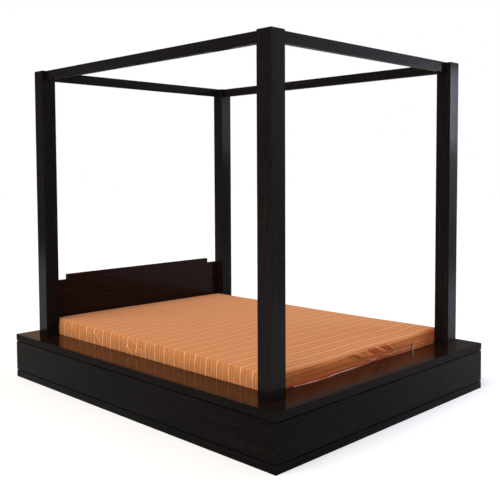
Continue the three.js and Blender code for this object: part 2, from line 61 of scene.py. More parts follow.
# %% Set up the camera
CAMERA_PLACE = Vector((-3.40163, -3.46671, 1.38616))
CAMERA_HEADING = 0.78934  # radians from +Y towards +X
CAMERA_TILT_DOWN = 0.05511
CAMERA_ROLL = -0.00443
LENS_MM = 53.536
SENSOR_MM = 36.0
SHIFT_RIGHT = -0.001  # of the frame's width
SHIFT_UP = -0.0741

forward = Vector((
    math.sin(CAMERA_HEADING) * math.cos(CAMERA_TILT_DOWN),
    math.cos(CAMERA_HEADING) * math.cos(CAMERA_TILT_DOWN),
    -math.sin(CAMERA_TILT_DOWN),
))
level_right = Vector((math.cos(CAMERA_HEADING), -math.sin(CAMERA_HEADING), 0.0))
level_up = level_right.cross(forward)
right = level_right * math.cos(CAMERA_ROLL) + level_up * math.sin(CAMERA_ROLL)
up = level_up * math.cos(CAMERA_ROLL) - level_right * math.sin(CAMERA_ROLL)

camera_data = bpy.data.cameras.new("photo_camera")
camera_data.lens = LENS_MM
camera_data.sensor_width = SENSOR_MM
camera_data.sensor_fit = "HORIZONTAL"
camera_data.shift_x = SHIFT_RIGHT
camera_data.shift_y = SHIFT_UP
camera_data.clip_end = 100.0
camera = bpy.data.objects.new("photo_camera", camera_data)
bpy.context.scene.collection.objects.link(camera)
camera.matrix_world = Matrix.Translation(CAMERA_PLACE) @ Matrix(
    (right, up, -forward)
).transposed().to_4x4()
bpy.context.scene.camera = camera
bpy.context.scene.view_settings.view_transform = "Standard"
print("camera stands at", tuple(round(value, 3) for value in camera.location))

# %% [markdown]
# ## Helpers for finishes
# A hex colour is sRGB, as a paint chart gives it, while the shader reckons in linear light, so
# one function turns it. Another adds a node with its settings and links. A key that names an
# input socket sets that socket, and any other key is a property of the node. A finish is begun
# with its shader and set up once the nodes before it are there.

# %% Colour and node helpers
def linear(hex_colour):
    """An sRGB hex colour as linear RGBA."""
    values = [int(hex_colour[i : i + 2], 16) / 255 for i in (1, 3, 5)]
    channels = [v / 12.92 if v <= 0.04045 else ((v + 0.055) / 1.055) ** 2.4 for v in values]
    return (*channels, 1.0)


def set_up(tree, node, settings=None, links=None):
    """Sets a node's properties and sockets and links its inputs."""
    for key, value in (settings or {}).items():
        if isinstance(key, int) or key in node.inputs:
            node.inputs[key].default_value = value
        else:
            setattr(node, key, value)
    for key, output in (links or {}).items():
        tree.links.new(output, node.inputs[key])
    return node


def add_node(tree, kind, settings=None, links=None):
    """Adds one node and sets it up."""
    return set_up(tree, tree.nodes.new(kind), settings, links)


def bare_material(name):
    """A material and its empty node tree."""
    material = bpy.data.materials.new(name)
    material.use_nodes = True
    material.node_tree.nodes.clear()
    return material, material.node_tree


def new_finish(name):
    """A material, its tree and the Principled shader in it."""
    material, tree = bare_material(name)
    shader = add_node(tree, "ShaderNodeBsdfPrincipled")
    add_node(tree, "ShaderNodeOutputMaterial", links={"Surface": shader.outputs["BSDF"]})
    return material, tree, shader


def colour_ramp(tree, factor, stops):
    """A ramp through (position, hex colour) stops."""
    ramp = add_node(tree, "ShaderNodeValToRGB", links={"Fac": factor})
    elements = ramp.color_ramp.elements
    while len(elements) < len(stops):
        elements.new(0.5)
    for element, (position, hex_colour) in zip(elements, stops):
        element.position = position
        element.color = linear(hex_colour)
    return ramp.outputs["Color"]


print("helpers ready")

# %% [markdown]
# ## Floor, light and surroundings
# The photograph's background is plain white. The floor is matt off-white card that keeps the
# bed's shadow. What the camera and mirrors see of the world is white, while the other rays get
# a softer sky. One broad lamp up on the left is the main light: it lights the mattress's top
# and long side. The foot end has the sky and a weaker, bluer lamp in the window's place.

# %% Lay the floor
def deselect_all():
    """Leaves nothing selected, so that an operator acts on the next piece alone."""
    if bpy.context.object and bpy.context.object.mode != "OBJECT":
        bpy.ops.object.mode_set(mode="OBJECT")
    bpy.ops.object.select_all(action="DESELECT")


def seen_share(tree):
    """1 for the rays of the camera, of mirrors and of glass, and 0 for all others."""
    rays = add_node(tree, "ShaderNodeLightPath")
    seen = rays.outputs["Is Camera Ray"]
    for kind in ("Is Glossy Ray", "Is Transmission Ray"):
        seen = add_node(
            tree, "ShaderNodeMath", {"operation": "MAXIMUM"}, {0: seen, 1: rays.outputs[kind]},
        ).outputs[0]
    return seen


FLOOR_SIZE = 60.0
FLOOR_DROP = 0.0005  # how far the card lies below the bed
FLOOR_LIFT = 0.28  # of white, added for the camera and for mirrors
deselect_all()
bpy.ops.mesh.primitive_plane_add(size=FLOOR_SIZE, location=(0, 0, -FLOOR_DROP))
floor = bpy.context.object
floor.name = "studio_floor"
floor_card, tree = bare_material("matt_white_card")
lift = add_node(
    tree, "ShaderNodeMath", {"operation": "MULTIPLY", 1: FLOOR_LIFT}, {0: seen_share(tree)},
)
matt = add_node(tree, "ShaderNodeBsdfDiffuse", {"Color": linear("#eef1f6")})
glow = add_node(tree, "ShaderNodeEmission", links={"Strength": lift.outputs[0]})
both = add_node(tree, "ShaderNodeAddShader", links={0: matt.outputs[0], 1: glow.outputs[0]})
add_node(tree, "ShaderNodeOutputMaterial", links={"Surface": both.outputs[0]})
floor.data.materials.append(floor_card)
print("floor", FLOOR_SIZE, "m across")

# %% Light the world
SKY_STRENGTH = 0.38
world = bpy.data.worlds.new("white_studio")
bpy.context.scene.world = world
world.use_nodes = True
tree = world.node_tree
tree.nodes.clear()
sky = add_node(
    tree, "ShaderNodeBackground", {"Color": linear("#fff4e8"), "Strength": SKY_STRENGTH},
)
white = add_node(tree, "ShaderNodeBackground", {"Color": linear("#ffffff"), "Strength": 1.0})
mix = add_node(
    tree, "ShaderNodeMixShader",
    links={0: seen_share(tree), 1: sky.outputs[0], 2: white.outputs[0]},
)
add_node(tree, "ShaderNodeOutputWorld", links={"Surface": mix.outputs[0]})
print("sky strength", SKY_STRENGTH)

# %% Hang the lamp
def hang_lamp(name, kind, strength, hex_colour, direction):
    """Adds a lamp that shines in a direction."""
    data = bpy.data.lights.new(name, kind)
    data.energy = strength
    data.color = linear(hex_colour)[:3]
    lamp = bpy.data.objects.new(name, data)
    lamp.rotation_euler = direction.to_track_quat("-Z", "Y").to_euler()
    bpy.context.scene.collection.objects.link(lamp)
    return lamp


SUN_STRENGTH = 2.3
SUN_SPREAD = math.radians(50)
SUN_DIRECTION = Vector((0.62, 0.0, -0.78))  # down and to the right
sun = hang_lamp("main_soft_light", "SUN", SUN_STRENGTH, "#fffaf2", SUN_DIRECTION)
sun.data.angle = SUN_SPREAD
print("main light", SUN_STRENGTH)

# %% [markdown]
# Glossy dark wood shows its surroundings more than its own colour, and a real studio isn't
# white all round. A ring of wall stands around the bed, seen by reflections alone. It is grey
# round the foot end's left corner and nearly black round the opposite one, with a less dark
# stretch at the right. Daylight comes in through a window and a door to the right of the foot
# end, and a lamp lights a patch of wall beyond the head end.

# %% Put up the studio wall
WALL_RADIUS = 9.0
WALL_HEIGHT = 7.0
GREY_TONE = 0.55  # of white
BLACK_TONE = 0.005
RIGHT_TONE = 0.15


def show_to_mirrors_alone(piece):
    """Hides a piece from the camera and from all light but a mirror's."""
    piece.visible_camera = False
    piece.visible_diffuse = False
    piece.visible_transmission = False
    piece.visible_shadow = False


deselect_all()
bpy.ops.mesh.primitive_cylinder_add(
    vertices=64, radius=WALL_RADIUS, depth=WALL_HEIGHT, end_fill_type="NOTHING",
    location=(0, 0, WALL_HEIGHT / 2),
)
wall = bpy.context.object
wall.name = "studio_wall"
show_to_mirrors_alone(wall)
wall.data.transform(wall.matrix_world)
wall.matrix_world = Matrix.Identity(4)
wall_paint, tree = bare_material("dim_studio_wall")
place = add_node(tree, "ShaderNodeTexCoord")
# How far a point of the wall lies towards the head end's right, from -1 to 1
diagonal = math.sqrt(0.5) / WALL_RADIUS
toward = add_node(
    tree, "ShaderNodeVectorMath", {"operation": "DOT_PRODUCT", 1: (diagonal, diagonal, 0)},
    {0: place.outputs["Object"]},
)
main_tone = add_node(
    tree, "ShaderNodeMapRange",
    {
        "interpolation_type": "SMOOTHSTEP",
        "From Min": 0.12, "From Max": 0.3, "To Min": GREY_TONE, "To Max": BLACK_TONE,
    },
    {"Value": toward.outputs["Value"]},
)
# The foot's ledge mirrors the stretch at the right
parts = add_node(tree, "ShaderNodeSeparateXYZ", links={0: place.outputs["Object"]})
right_tone = add_node(
    tree, "ShaderNodeMapRange",
    {
        "interpolation_type": "SMOOTHSTEP",
        "From Min": 0.55 * WALL_RADIUS, "From Max": 0.8 * WALL_RADIUS,
        "To Min": 0.0, "To Max": RIGHT_TONE,
    },
    {"Value": parts.outputs["X"]},
)
tone = add_node(
    tree, "ShaderNodeMath", {"operation": "MAXIMUM"},
    {0: main_tone.outputs[0], 1: right_tone.outputs[0]},
)
glow = add_node(
    tree, "ShaderNodeEmission", {"Color": linear("#eef0fa")}, {"Strength": tone.outputs[0]},
)
add_node(tree, "ShaderNodeOutputMaterial", links={"Surface": glow.outputs[0]})
wall.data.materials.append(wall_paint)
print("wall radius", WALL_RADIUS)

# %% Hang the window and the glazed door
GLAZING_Y = -4.0
LAMPLIT_Y = 8.0


def glazing(name, left, right, sill, top, dim, bright, y=GLAZING_Y, tint="#e9eeff"):
    """A glowing sheet, from dim at its foot to bright at its top, that only mirrors see."""
    deselect_all()
    bpy.ops.mesh.primitive_plane_add(size=1)
    sheet = bpy.context.object
    sheet.name = name
    sheet.data.transform(
        Matrix.Translation(((left + right) / 2, y, (sill + top) / 2))
        @ Matrix.Rotation(math.radians(90), 4, "X")
        @ Matrix.Diagonal((right - left, top - sill, 1, 1))
    )
    show_to_mirrors_alone(sheet)
    light, tree = bare_material(name + "_light")
    place = add_node(tree, "ShaderNodeTexCoord")
    parts = add_node(tree, "ShaderNodeSeparateXYZ", links={0: place.outputs["Object"]})
    lit = add_node(
        tree, "ShaderNodeMapRange",
        {"From Min": sill, "From Max": top, "To Min": dim, "To Max": bright},
        {"Value": parts.outputs["Z"]},
    )
    glow = add_node(
        tree, "ShaderNodeEmission", {"Color": linear(tint)}, {"Strength": lit.outputs[0]},
    )
    add_node(tree, "ShaderNodeOutputMaterial", links={"Surface": glow.outputs[0]})
    sheet.data.materials.append(light)


glazing("studio_side_light", 1.9, 3.2, 0.0, 3.2, 0.6, 2.2)
glazing("studio_window", 3.2, 5.75, 1.7, 4.2, 1.6, 2.2)
glazing("studio_bright_pane", 5.2, 5.75, 1.7, 2.7, 16.0, 18.0)
glazing("studio_door", 5.75, 10.0, 0.0, 2.8, 0.4, 3.4)
glazing("studio_lamplit_wall", 1.5, 3.9, 1.75, 2.7, 0.62, 0.62, y=LAMPLIT_Y, tint="#ffe2cc")
print("glazing at y", GLAZING_Y, "and a lamplit wall at y", LAMPLIT_Y)

# %% Light the foot end from the window
FILL_SIZE = 2.0
FILL_WATTS = 110
FILL_PLACE = Vector((4.2, -3.4, 1.9))
FILL_TARGET = Vector((0.2, -1.0, 0.3))
fill = hang_lamp("window_fill", "AREA", FILL_WATTS, "#c6d6ff", FILL_TARGET - FILL_PLACE)
fill.data.shape = "SQUARE"
fill.data.size = FILL_SIZE
fill.location = FILL_PLACE
fill.visible_glossy = False
print("fill lamp at", tuple(fill.location))

# %% [markdown]
# ## Dark lacquered wood
# The bed is a plain hardwood, stained espresso and sprayed with clear lacquer. The stain leaves a
# nearly black brown, with the grain only just showing as long streaks. A lacquer film mirrors
# most at a low angle: the ledge shows the mattress like still water, while upright boards stay
# dark. The ledge is rubbed to a gloss, the headboard is polished, the posts and rails are satin,
# and the aprons near the floor are dullest. The grain runs along each board, so each sheen has a
# finish for each direction.

# %% Make the wood
GRAIN_WIDTH = 0.011  # metres across one streak
GRAIN_LENGTH = 0.45
PORE_WIDTH = 0.0025  # drawn about five times too coarse, to show at all
PORE_LENGTH = 0.05
RIPPLE_SIZE = 0.09  # the orange peel of sprayed lacquer, a hand's breadth from crest to crest
# Each sheen: the film's index, which sets how fast its mirror fades from a low angle to a steep
# one, what it keeps of its straight-on mirror, the roughness of its smooth and dull streaks, and
# the stain under it, dark to light
SHEENS = {
    "gloss": (1.35, 0.15, 0.13, 0.23, ("#150f0d", "#1c1512", "#281d19")),
    # The headboard's stain is lighter and redder than the posts': partly painted warm light
    # bounced from the mattress
    "polish": (1.12, 0.9, 0.10, 0.20, ("#1f1310", "#261713", "#301e18")),
    "satin": (1.2, 0.15, 0.10, 0.20, ("#151213", "#1b1717", "#241e1d")),
    "dull": (1.1, 0.15, 0.2, 0.32, ("#100d0d", "#141211", "#1c1817")),
}
GLOSS_TINT = "#fffaf7"  # the red of the stain, seen through the ledge's film at a low angle
EDGE_ROUGHNESS = 0.7  # the ledge's upright edges, left as sprayed
EDGE_SHADE_TONE = "#707070"  # and darker: painted shade on the ledge's upright edges


def stretched(tree, axis, width, length):
    """Object coordinates in units of one streak, long along an axis."""
    place = add_node(tree, "ShaderNodeTexCoord")
    scale = [1 / width] * 3
    scale["xyz".index(axis)] = 1 / length
    return add_node(
        tree, "ShaderNodeMapping", {"Scale": scale}, {"Vector": place.outputs["Object"]},
    ).outputs[0]


def lacquered_wood(sheen, axis):
    """Espresso stained hardwood under clear lacquer of one sheen, its grain along an axis."""
    film_ior, face_on, smoothest, dullest, tones = SHEENS[sheen]
    material, tree, shader = new_finish(f"espresso_hardwood_{sheen}_lacquer_{axis}")
    streaks = add_node(
        tree, "ShaderNodeTexNoise",
        {"Scale": 1.0, "Detail": 4.0, "Roughness": 0.6, "Distortion": 0.4},
        {"Vector": stretched(tree, axis, GRAIN_WIDTH, GRAIN_LENGTH)},
    )
    pores = add_node(
        tree, "ShaderNodeTexNoise", {"Scale": 1.0, "Detail": 2.0, "Roughness": 0.5},
        {"Vector": stretched(tree, axis, PORE_WIDTH, PORE_LENGTH)},
    )
    stain = colour_ramp(tree, streaks.outputs["Fac"], list(zip((0.3, 0.52, 0.75), tones)))
    pore_tone = colour_ramp(tree, pores.outputs["Fac"], [(0.34, "#a8a8a8"), (0.5, "#ffffff")])
    tone = add_node(
        tree, "ShaderNodeMix", {"data_type": "RGBA", "blend_type": "MULTIPLY", 0: 1.0},
        {6: stain, 7: pore_tone},
    )
    gloss = add_node(
        tree, "ShaderNodeMapRange", {"To Min": smoothest, "To Max": dullest},
        {"Value": streaks.outputs["Fac"]},
    )
    place = add_node(tree, "ShaderNodeTexCoord")
    if sheen == "gloss":
        # Only the flat top of a ledge board is rubbed to a mirror
        facing = add_node(tree, "ShaderNodeSeparateXYZ", links={0: place.outputs["Normal"]})
        on_top = add_node(
            tree, "ShaderNodeMapRange", {"From Min": 0.5, "From Max": 0.9},
            {"Value": facing.outputs["Z"]},
        )
        gloss = add_node(
            tree, "ShaderNodeMix", {2: EDGE_ROUGHNESS},
            {0: on_top.outputs[0], 3: gloss.outputs[0]},
        )
        # The upright edges are drawn darker, as painted shade
        painted_edge_shade = add_node(
            tree, "ShaderNodeMix",
            {"data_type": "RGBA", 6: linear(EDGE_SHADE_TONE), 7: linear("#ffffff")},
            {0: on_top.outputs[0]},
        )
        tone = add_node(
            tree, "ShaderNodeMix", {"data_type": "RGBA", "blend_type": "MULTIPLY", 0: 1.0},
            {6: tone.outputs[2], 7: painted_edge_shade.outputs[2]},
        )
    ripple = add_node(
        tree, "ShaderNodeTexNoise", {"Scale": 1 / RIPPLE_SIZE, "Detail": 1.0},
        {"Vector": place.outputs["Object"]},
    )
    waves = add_node(
        tree, "ShaderNodeBump", {"Strength": 0.3, "Distance": 0.001},
        {"Height": ripple.outputs["Fac"]},
    )
    dents = add_node(
        tree, "ShaderNodeBump", {"Strength": 0.2, "Distance": 0.0003},
        {"Height": pores.outputs["Fac"], "Normal": waves.outputs[0]},
    )
    set_up(
        tree, shader, {"IOR": film_ior, "Specular Tint": (face_on, face_on, face_on, 1.0)},
        {"Base Color": tone.outputs[2], "Roughness": gloss.outputs[0], "Normal": dents.outputs[0]},
    )
    if sheen == "gloss":
        # A coat of index 1 mirrors nothing and tints what is under it, most at a low angle
        coat = {"Coat Weight": 1.0, "Coat IOR": 1.0, "Coat Tint": linear(GLOSS_TINT)}
        set_up(tree, shader, coat)
    return material


wood = {(sheen, axis): lacquered_wood(sheen, axis) for sheen in SHEENS for axis in "xyz"}
print("wood finishes", [material.name for material in wood.values()])

# %% [markdown]
# ## Hidden timber and metal
# The frame under the mattress is planed pine, left bare: pale, matt, with soft brown growth
# rings. The bolts are bright zinc plated steel. The zip's slider is zinc with a bronzed finish,
# its pull is nickel plated, and its tape is plain woven cloth in the colour of the cover.

# %% Make the pine
PINE_RING_WIDTH = 0.018
PINE_RING_LENGTH = 0.9


def planed_pine(axis):
    """Bare planed pine, its growth rings running along an axis."""
    material, tree, shader = new_finish(f"planed_pine_grain_{axis}")
    rings = add_node(
        tree, "ShaderNodeTexNoise",
        {"Scale": 1.0, "Detail": 3.0, "Roughness": 0.45, "Distortion": 1.2},
        {"Vector": stretched(tree, axis, PINE_RING_WIDTH, PINE_RING_LENGTH)},
    )
    tone = colour_ramp(
        tree, rings.outputs["Fac"],
        [(0.3, "#a97c4a"), (0.45, "#c59c66"), (0.6, "#d7b27e"), (0.75, "#c39558")],
    )
    fibres = add_node(
        tree, "ShaderNodeBump", {"Strength": 0.3, "Distance": 0.0004},
        {"Height": rings.outputs["Fac"]},
    )
    set_up(tree, shader, {"Roughness": 0.62}, {"Base Color": tone, "Normal": fibres.outputs[0]})
    return material


pine = {axis: planed_pine(axis) for axis in "xyz"}
print("pine finishes", len(pine))

# %% Make the metals
GRIT = 0.0012  # metres across one tumbling scratch, drawn coarse
MOTTLE_IN_GLOSS = 0.08  # how far the roughness strays either way


def plated_metal(name, dark, light, roughness):
    """A plated metal with faint mottling in tone and gloss."""
    material, tree, shader = new_finish(name)
    place = add_node(tree, "ShaderNodeTexCoord")
    mottle = add_node(
        tree, "ShaderNodeTexNoise", {"Scale": 1 / GRIT, "Detail": 3.0},
        {"Vector": place.outputs["Object"]},
    )
    tone = colour_ramp(tree, mottle.outputs["Fac"], [(0.3, dark), (0.7, light)])
    gloss = add_node(
        tree, "ShaderNodeMapRange",
        {"To Min": roughness - MOTTLE_IN_GLOSS, "To Max": roughness + MOTTLE_IN_GLOSS},
        {"Value": mottle.outputs["Fac"]},
    )
    set_up(tree, shader, {"Metallic": 1.0}, {"Base Color": tone, "Roughness": gloss.outputs[0]})
    return material


zinc = plated_metal("zinc_plated_steel", "#9a9da1", "#b4b6b8", 0.34)
nickel = plated_metal("satin_nickel_plate", "#dcdad3", "#f2f0ea", 0.42)
bronzed = plated_metal("bronzed_zinc_zip_metal", "#7a4f34", "#96654a", 0.38)
print("metals", zinc.name, nickel.name, bronzed.name)

# %% Give every CAD board its finish
def grain_axis(name):
    """The axis a board's grain runs along: its longest side."""
    low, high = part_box(name)
    sides = [b - a for a, b in zip(low, high)]
    return "xyz"[sides.index(max(sides))]


def set_finish(target, material):
    """Puts one material in the only slot of an object."""
    target.data.materials.clear()
    target.data.materials.append(material)


def sheen_of(name):
    """How glossy a lacquered board is."""
    if name.startswith("deck"):
        return "gloss"
    if name.startswith("headboard"):
        return "polish"
    if name.startswith(("apron", "skirting")):
        return "dull"
    return "satin"


OTHER_NAMES = ("mattress", "zip_tape", "zip_slider", "zip_tab")  # finished one by one
PINE_NAMES = ("side_rail", "slat", "cross_rail", "deck_bearer", "centre_beam", "centre_leg")
for name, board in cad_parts.items():
    if name in OTHER_NAMES:
        continue
    if name.startswith("bed_bolt"):
        set_finish(board, zinc)
    elif name.startswith(PINE_NAMES):
        set_finish(board, pine[grain_axis(name)])
    else:
        set_finish(board, wood[sheen_of(name), grain_axis(name)])
set_finish(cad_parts["zip_slider"], bronzed)
set_finish(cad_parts["zip_tab"], nickel)
print("boards finished")

# %% [markdown]
# The headboard's two boards are glued edge to edge. A thread of glue, stained with the boards,
# fills the joint, so that no daylight shows through it.

# %% Run the glue line
GLUE_INSET = 0.001  # how far the glue stays back from the boards' faces and the posts
GLUE_CLEARANCE = 0.00005  # above and below it
board_low, board_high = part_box("headboard_lower")
glue_bottom = board_high[2] + GLUE_CLEARANCE
glue_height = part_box("headboard_upper")[0][2] - GLUE_CLEARANCE - glue_bottom
glue_length = 2 * (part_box("post_head_right")[0][0] - GLUE_INSET)
glue_depth = board_high[1] - board_low[1] - 2 * GLUE_INSET
deselect_all()
bpy.ops.mesh.primitive_plane_add(size=1)
glue = bpy.context.object
glue.name = "headboard_glue_line"
bpy.ops.object.mode_set(mode="EDIT")
bpy.ops.mesh.select_all(action="SELECT")
bpy.ops.transform.resize(value=(glue_length, glue_depth, 1))
bpy.ops.mesh.extrude_region_move(TRANSFORM_OT_translate={"value": (0, 0, glue_height)})
bpy.ops.mesh.select_all(action="SELECT")
bpy.ops.mesh.normals_make_consistent(inside=False)
bpy.ops.object.mode_set(mode="OBJECT")
glue.data.transform(Matrix.Translation((0, (board_low[1] + board_high[1]) / 2, glue_bottom)))
set_finish(glue, wood["dull", "x"])
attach(glue, "root")
print("glue line", round(glue_length, 3), "m long", round(glue_height * 1000, 2), "mm thick")

# %% [markdown]
# ## The mattress
# It is a thin foam slab in a loose zipped cover, so its edges are crisp and its faces nearly
# flat. A box grid is drawn first, from one sheet pulled down, and its corners and edges are
# rounded off to the radii of the foam. The cover then gets a short cloth simulation, cut a
# little large, so that the long sides pucker on their own.

# %% Draw the slab
low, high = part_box("mattress")
HEAD_CLEARANCE = 0.002
UNDERSIDE_CLEARANCE = 0.0005
HALF_X = high[0]
FOOT_Y = low[1]
HEAD_Y = high[1] - HEAD_CLEARANCE
BOTTOM_Z = low[2] + UNDERSIDE_CLEARANCE
RIM_Z = 0.3905  # the top edge where the slab is full
CELL = 0.025  # metres across one face of the grid
SLICE_HEIGHTS = (0.004, 0.012, 0.03, 0.05, 0.07, 0.09, 0.11, 0.132, 0.14)  # above the bottom
SLICE_INSETS = (0.005, 0.012)  # in from each side
WELD_DISTANCE = 0.0008
CORNER_RADIUS = 0.013
TOP_RADIUS = 0.009
BOTTOM_RADIUS = 0.012

width = 2 * HALF_X
length = HEAD_Y - FOOT_Y
middle_y = (HEAD_Y + FOOT_Y) / 2
deselect_all()
bpy.ops.mesh.primitive_grid_add(
    x_subdivisions=round(width / CELL), y_subdivisions=round(length / CELL), size=1,
    location=(0, middle_y, RIM_Z),
)
cover = bpy.context.object
cover.name = "mattress_cover"
bpy.ops.object.mode_set(mode="EDIT")
bpy.ops.mesh.select_all(action="SELECT")
bpy.ops.transform.resize(value=(width, length, 1))
bpy.ops.mesh.extrude_region_move(TRANSFORM_OT_translate={"value": (0, 0, BOTTOM_Z - RIM_Z)})


def slice_slab(place, direction):
    """Cuts a loop right round the slab in the plane through a place."""
    bpy.ops.mesh.select_all(action="SELECT")
    bpy.ops.mesh.bisect(plane_co=place, plane_no=direction)


for height in SLICE_HEIGHTS:
    slice_slab((0, 0, BOTTOM_Z + height), (0, 0, 1))
for inset in SLICE_INSETS:
    for side in (-1, 1):
        slice_slab((side * (HALF_X - inset), 0, 0), (1, 0, 0))
        slice_slab((0, middle_y + side * (length / 2 - inset), 0), (0, 1, 0))
bpy.ops.mesh.select_all(action="SELECT")
bpy.ops.mesh.remove_doubles(threshold=WELD_DISTANCE)
bpy.ops.mesh.normals_make_consistent(inside=False)
bpy.ops.object.mode_set(mode="OBJECT")
cover.data.transform(cover.matrix_world)
cover.matrix_world = Matrix.Identity(4)
print("slab faces", len(cover.data.polygons))

# %% [markdown]
# Edit mode stores its points in an order that differs from run to run, and the cloth simulation
# follows that order. Points and faces are put in order of place, so that each run puckers alike.

# %% Put the slab's points in order
def put_in_order(piece):
    """Stores a mesh's points and faces in the order of their places."""
    points = [tuple(round(value, 6) for value in vertex.co) for vertex in piece.data.vertices]
    order = sorted(range(len(points)), key=lambda index: points[index])
    rank = {old: new for new, old in enumerate(order)}
    faces = []
    for face in piece.data.polygons:
        corners = [rank[index] for index in face.vertices]
        first = corners.index(min(corners))
        faces.append(corners[first:] + corners[:first])
    piece.data.clear_geometry()
    piece.data.from_pydata([points[index] for index in order], [], sorted(faces))


put_in_order(cover)
print("points in order", len(cover.data.vertices))

# %% Lay the stripes' map before the cloth moves
# The stripes run across the bed. v follows the cloth from head to foot: along the top and the
# long sides it is y, and on the two ends it goes on down the boxing. The foot's boxing was sewn
# on with its stripes out of step, less so at its left. u runs along a stripe.
def smooth(value, start, end):
    """0 before start, 1 after end, and a soft turn between them."""
    share = max(0.0, min(1.0, (value - start) / (end - start)))
    return share * share * (3 - 2 * share)


def between(value, places, heights):
    """The height at a value, turning softly from each place's height to the next."""
    height = heights[0]
    for start, end, before, after in zip(places, places[1:], heights, heights[1:]):
        height += (after - before) * smooth(value, start, end)
    return height


STEP_PLACES = (-0.76, -0.6, -0.15)  # x along the foot
OUT_OF_STEP = (0.027, 0.029, 0.0426)  # metres up or down
stripes_map = cover.data.uv_layers.new(name="stripes")
for face in cover.data.polygons:
    on_end = abs(face.normal.y) > 0.7
    for loop_index in face.loop_indices:
        point = cover.data.vertices[cover.data.loops[loop_index].vertex_index].co
        u, v = point.x, point.y
        if on_end:
            v += math.copysign(RIM_Z - point.z, point.y)
            v -= between(point.x, STEP_PLACES, OUT_OF_STEP) if point.y < 0 else 0.0
        if abs(face.normal.x) > 0.7:
            u = math.copysign(HALF_X + RIM_Z - point.z, point.x)
        stripes_map.data[loop_index].uv = (u, v)
print("stripe map laid on", len(stripes_map.data), "corners")

# %% Round the corners and edges
def rounded(point):
    """A point of the square slab, moved onto the rounded one."""
    x, y = point.x, point.y - middle_y
    half_y = length / 2
    inner = Vector((
        max(-(HALF_X - CORNER_RADIUS), min(HALF_X - CORNER_RADIUS, x)),
        max(-(half_y - CORNER_RADIUS), min(half_y - CORNER_RADIUS, y)),
    ))
    out = Vector((x, y)) - inner
    if out.length > CORNER_RADIUS:
        out = out.normalized() * CORNER_RADIUS
    if out.length > 1e-9:
        inset = CORNER_RADIUS - out.length
        outward = out.normalized()
    else:
        inset = CORNER_RADIUS
        outward = Vector((0, 0))
    z = point.z
    for edge_z, radius, sense in ((RIM_Z, TOP_RADIUS, 1), (BOTTOM_Z, BOTTOM_RADIUS, -1)):
        depth = sense * (edge_z - z)
        if inset < radius and depth < radius:
            corner = Vector((radius - inset, radius - depth))
            if corner.length > radius:
                corner = corner.normalized() * radius
                out = outward * (CORNER_RADIUS - radius + corner.x)
                z = edge_z - sense * (radius - corner.y)
    spot = inner + out
    return Vector((spot.x, spot.y + middle_y, z))


for vertex in cover.data.vertices:
    vertex.co = rounded(vertex.co)
print("edges rounded to", TOP_RADIUS, "m")

# %% [markdown]
# The cover is cut 1.5 % larger than the foam. Its top and bottom are held, as the foam holds
# them, and only the sides may move, by 7 mm at most. Nothing falls: a little pressure from
# inside takes the place of the foam. The foot end is held too, because the zip keeps it flat.

# %% Let the cloth settle
SLACK = 0.015
MOST_MOVE = 0.007
SETTLING_FRAMES = 20
FREE_DEPTH = 0.03  # how far in from its faces the cover may move
FREE_START = 0.01  # metres below the rim, where it is free
FREE_END = 0.125


def held(point):
    """1 where the foam holds the cover, and 0 where the cloth may move."""
    from_top = RIM_Z - point.z
    from_side = min(HALF_X - abs(point.x), HEAD_Y - point.y)
    off_foot = point.y > FOOT_Y + FREE_DEPTH
    free = from_side < FREE_DEPTH and FREE_START < from_top < FREE_END and off_foot
    return 0.0 if free else 1.0


def choose_piece(piece):
    """Selects one piece alone and makes it the active one."""
    deselect_all()
    piece.select_set(True)
    bpy.context.view_layer.objects.active = piece


pins = cover.vertex_groups.new(name="held_by_foam")
for vertex in cover.data.vertices:
    pins.add([vertex.index], held(vertex.co), "REPLACE")
rest = [vertex.co.copy() for vertex in cover.data.vertices]

choose_piece(cover)
cloth = cover.modifiers.new("cover_cloth", "CLOTH")
cloth.settings.quality = 4
cloth.settings.mass = 0.2
cloth.settings.tension_stiffness = 12
cloth.settings.compression_stiffness = 12
cloth.settings.shear_stiffness = 4
cloth.settings.bending_stiffness = 0.05
cloth.settings.shrink_min = -SLACK
cloth.settings.shrink_max = -SLACK
cloth.settings.use_pressure = True
cloth.settings.uniform_pressure_force = 4
cloth.settings.vertex_group_mass = "held_by_foam"
cloth.settings.effector_weights.gravity = 0
cloth.point_cache.frame_end = SETTLING_FRAMES
for step in range(1, SETTLING_FRAMES + 1):
    bpy.context.scene.frame_set(step)
bpy.ops.object.modifier_apply(modifier=cloth.name)
bpy.context.scene.frame_set(1)
furthest = 0.0
for vertex, start in zip(cover.data.vertices, rest):
    move = vertex.co - start
    furthest = max(furthest, move.length)
    if move.length > MOST_MOVE:
        vertex.co = start + move.normalized() * MOST_MOVE
print("cloth moved up to", round(furthest * 1000, 1), "mm before the cap")

# %% Smooth the cover
cover.vertex_groups.clear()
choose_piece(cover)
finer = cover.modifiers.new("finer_cloth", "SUBSURF")
finer.levels = 1
finer.render_levels = 1
bpy.ops.object.modifier_apply(modifier=finer.name)
print("smoothed to", len(cover.data.polygons), "faces")

# %% [markdown]
# A used foam slab isn't level. This one has sunk at its foot and leans a little to the right.
# The heights are read off a coarse net laid over the top, with soft turns between its places,
# and the sides follow in proportion.

# %% Let the top sink
TOP_COLUMNS = (-0.76, -0.22, 0.05, 0.45, 0.76)  # x of the net
TOP_ROWS = (-0.984, -0.55, 0.10, 1.05)  # y of the net
TOP_NET = (  # metres above the full height, from the foot row to the head row
    (-0.012, -0.018, -0.012, -0.016, -0.003),
    (-0.003, -0.002, -0.001, -0.002, -0.003),
    (0.001, 0.0, 0.0, -0.003, -0.006),
    (0.004, 0.001, -0.002, -0.005, -0.008),
)
CROWN = 0.004
WAVE = 0.0012  # the top's gentle unevenness
WAVE_LENGTH = 0.22
TOP_SHARE = 0.95  # of the slab's height, above which a point belongs to the top

